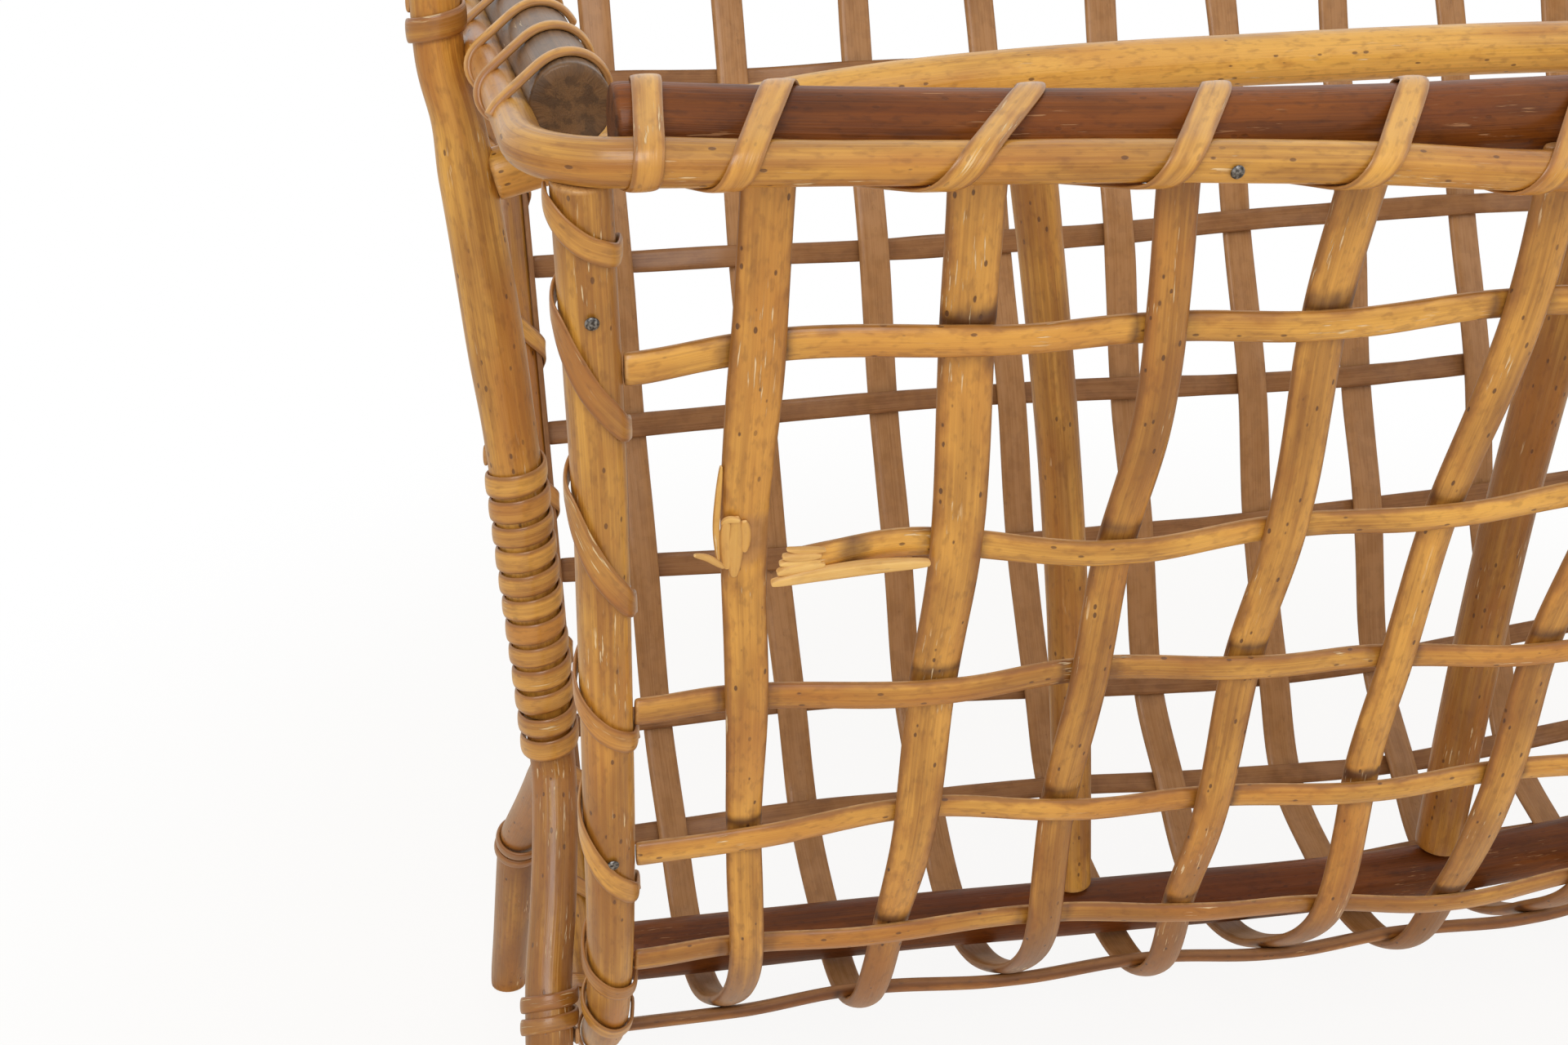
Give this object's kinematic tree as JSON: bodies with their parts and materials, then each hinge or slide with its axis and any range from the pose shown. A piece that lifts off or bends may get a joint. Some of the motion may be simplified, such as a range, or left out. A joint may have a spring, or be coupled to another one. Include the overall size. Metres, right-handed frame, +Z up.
{
  "type": "magazine basket",
  "caption": "Woven rattan magazine basket: a U-shaped cradle of split cane hung between two end posts on splayed legs, with a divider rail along the middle.",
  "frame": {"origin": "on the floor under the middle of the rim", "axes": "+X to the right along the long side, +Y to the back, +Z up"},
  "size_m": [0.5054, 0.3198, 0.364],
  "materials": {
    "honey_rattan": "satin, clear coated",
    "woven_rattan": "satin, worn",
    "aged_rattan": "matt, darkened",
    "red_brown_pole": "satin",
    "grey_brown_pole": "matt, weathered",
    "cane_lashing": "satin",
    "steel_nail": "dull"
  },
  "bodies": {
    "root": {"rib_1": "woven_rattan", "rib_2": "woven_rattan", "rib_3": "woven_rattan", "rib_4": "woven_rattan", "rib_5": "woven_rattan", "rib_6": "woven_rattan", "rib_7": "woven_rattan", "rib_8": "woven_rattan", "rib_9": "woven_rattan", "front_weaver_1": "honey_rattan", "front_weaver_2": "honey_rattan", "front_weaver_3": "honey_rattan", "front_weaver_4": "honey_rattan", "front_weaver_5": "honey_rattan", "bottom_weaver_1": "aged_rattan", "bottom_weaver_2": "aged_rattan", "bottom_weaver_3": "aged_rattan", "back_weaver_5": "aged_rattan", "back_weaver_4": "aged_rattan", "back_weaver_3": "aged_rattan", "back_weaver_2": "aged_rattan", "back_weaver_1": "aged_rattan", "front_top_pole": "red_brown_pole", "back_top_pole": "red_brown_pole", "rim_cane": "honey_rattan", "left_top_pole": "grey_brown_pole", "right_top_pole": "grey_brown_pole", "left_end_frame": "honey_rattan", "left_end_liner": "aged_rattan", "right_end_frame": "honey_rattan", "right_end_liner": "aged_rattan", "bottom_pole": "red_brown_pole", "divider_rail": "honey_rattan", "divider_upright_left": "honey_rattan", "divider_upright_right": "honey_rattan", "left_end_post": "honey_rattan", "right_end_post": "honey_rattan", "front_left_leg": "honey_rattan", "back_left_leg": "honey_rattan", "front_right_leg": "honey_rattan", "back_right_leg": "honey_rattan", "front_rim_lashing": "cane_lashing", "back_rim_lashing": "cane_lashing", "left_front_side_lashing": "cane_lashing", "left_back_side_lashing": "cane_lashing", "right_front_side_lashing": "cane_lashing", "right_back_side_lashing": "cane_lashing", "left_frame_lashing": "cane_lashing", "right_frame_lashing": "cane_lashing", "left_post_binding": "cane_lashing", "right_post_binding": "cane_lashing", "left_post_top_wrap": "cane_lashing", "right_post_top_wrap": "cane_lashing", "front_left_knee_wrap": "cane_lashing", "back_left_knee_wrap": "cane_lashing", "front_right_knee_wrap": "cane_lashing", "back_right_knee_wrap": "cane_lashing", "upper_frame_nail": "steel_nail", "lower_frame_nail": "steel_nail", "rim_cane_nail": "steel_nail"}
  },
  "joints": []
}
